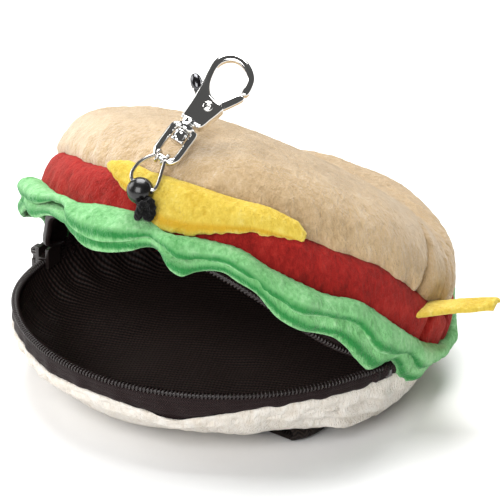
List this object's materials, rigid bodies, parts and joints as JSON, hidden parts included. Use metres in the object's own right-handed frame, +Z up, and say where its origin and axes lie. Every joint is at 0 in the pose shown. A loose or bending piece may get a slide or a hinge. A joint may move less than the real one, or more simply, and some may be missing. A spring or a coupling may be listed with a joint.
{
  "type": "plush zip pouch",
  "caption": "Plush pouch shaped like a layered burger with a zip mouth, belt loop, and a black ball with a chrome swivel snap hook.",
  "frame": {"origin": "middle of the underside, on the surface the pouch stands on", "axes": "+Z up, the zip mouth faces -Y, +X to the pouch's right mouth corner"},
  "size_m": [0.1678, 0.1431, 0.1175],
  "materials": {
    "plush_cream": "short-pile plush",
    "plush_tan": "short-pile plush",
    "plush_red": "short-pile plush",
    "plush_green": "short-pile plush",
    "plush_yellow": "short-pile plush",
    "fibre_fill": "loose fibre",
    "lining": "ribbed woven cloth",
    "tape": "herringbone tape",
    "coil": "nylon coil",
    "webbing": "woven webbing",
    "cord": "braided cord",
    "ball": "glossy",
    "wire": "drawn wire",
    "chrome": "polished plating",
    "spring_steel": "plain",
    "zip_metal": "dark enamel"
  },
  "bodies": {
    "base": {"bottom_bun_cover": "plush_cream", "bottom_bun_padding": "fibre_fill", "lining_lower": "lining", "belt_loop": "webbing", "zip_tape_lower": "tape", "zip_coil_lower": "coil", "zip_stop_start": "zip_metal", "zip_stop_end": "zip_metal", "rear_gusset": "tape", "corner_tab_left": "tape", "corner_tab_right": "tape", "lettuce_rear": "plush_green", "tomato_rear": "plush_red", "top_bun_rear": "plush_tan"},
    "lid": {"zip_tape_upper": "tape", "zip_coil_upper": "coil", "lining_upper": "lining", "lettuce_lower": "plush_green", "lettuce_upper": "plush_green", "tomato_front": "plush_red", "core_padding": "fibre_fill", "top_bun_cover": "plush_tan", "top_bun_padding": "fibre_fill", "cheese_front": "plush_yellow", "cheese_right": "plush_yellow"},
    "slider": {"zip_slider": "zip_metal", "slider_bail": "zip_metal"},
    "pull": {"pull_tab": "zip_metal"},
    "cord_ball": {"ball": "ball", "cord_knot": "cord"},
    "link": {"wire_link": "wire"},
    "eye": {"swivel_eye": "chrome"},
    "hook": {"swivel_post": "chrome", "hook_body": "chrome", "trigger_rivet": "chrome", "trigger_spring": "spring_steel"},
    "trigger": {"trigger_lever": "chrome"}
  },
  "joints": [
    {"name": "lid_hinge", "type": "hinge", "parent": "base", "child": "lid", "pos_m": [0, 0, 0.023], "axis": [-1, 0, 0], "range_deg": [-38, 0]},
    {"name": "zip_travel", "type": "hinge", "parent": "base", "child": "slider", "pos_m": [0, 0, 0.023], "axis": [0, 0, -1], "range_deg": [-164, 0]},
    {"name": "pull_flip", "type": "hinge", "parent": "slider", "child": "pull", "pos_m": [-0.07169, -0.01008, 0.0236], "axis": [-0.1392, 0.9903, 0], "range_deg": [0, 90]},
    {"name": "ball_swing", "type": "hinge", "parent": "lid", "child": "cord_ball", "pos_m": [0.00961, -0.05537, 0.07846], "axis": [0.9255, 0.1674, -0.3397], "range_deg": [0, 60]},
    {"name": "link_swing", "type": "hinge", "parent": "cord_ball", "child": "link", "pos_m": [0.00663, -0.04981, 0.08693], "axis": [0.9255, 0.1674, -0.3397], "range_deg": [0, 35]},
    {"name": "eye_swing", "type": "hinge", "parent": "link", "child": "eye", "pos_m": [0.00668, -0.03897, 0.09239], "axis": [0.9255, 0.1674, -0.3397], "range_deg": [0, 35]},
    {"name": "hook_swivel", "type": "hinge", "parent": "eye", "child": "hook", "pos_m": [0.00743, -0.02871, 0.09949], "axis": [0.0599, 0.821, 0.5678], "continuous": true},
    {"name": "trigger_press", "type": "hinge", "parent": "hook", "child": "trigger", "pos_m": [0.01012, -0.02061, 0.10405], "axis": [0.3739, -0.5459, 0.7498], "range_deg": [0, 25], "stiffness_Nm_per_rad": 0.0015, "springref_deg": -34.38}
  ],
  "couplings": [
    {"joint": "zip_travel", "follows": "lid_hinge", "ratio": 4.3158}
  ]
}
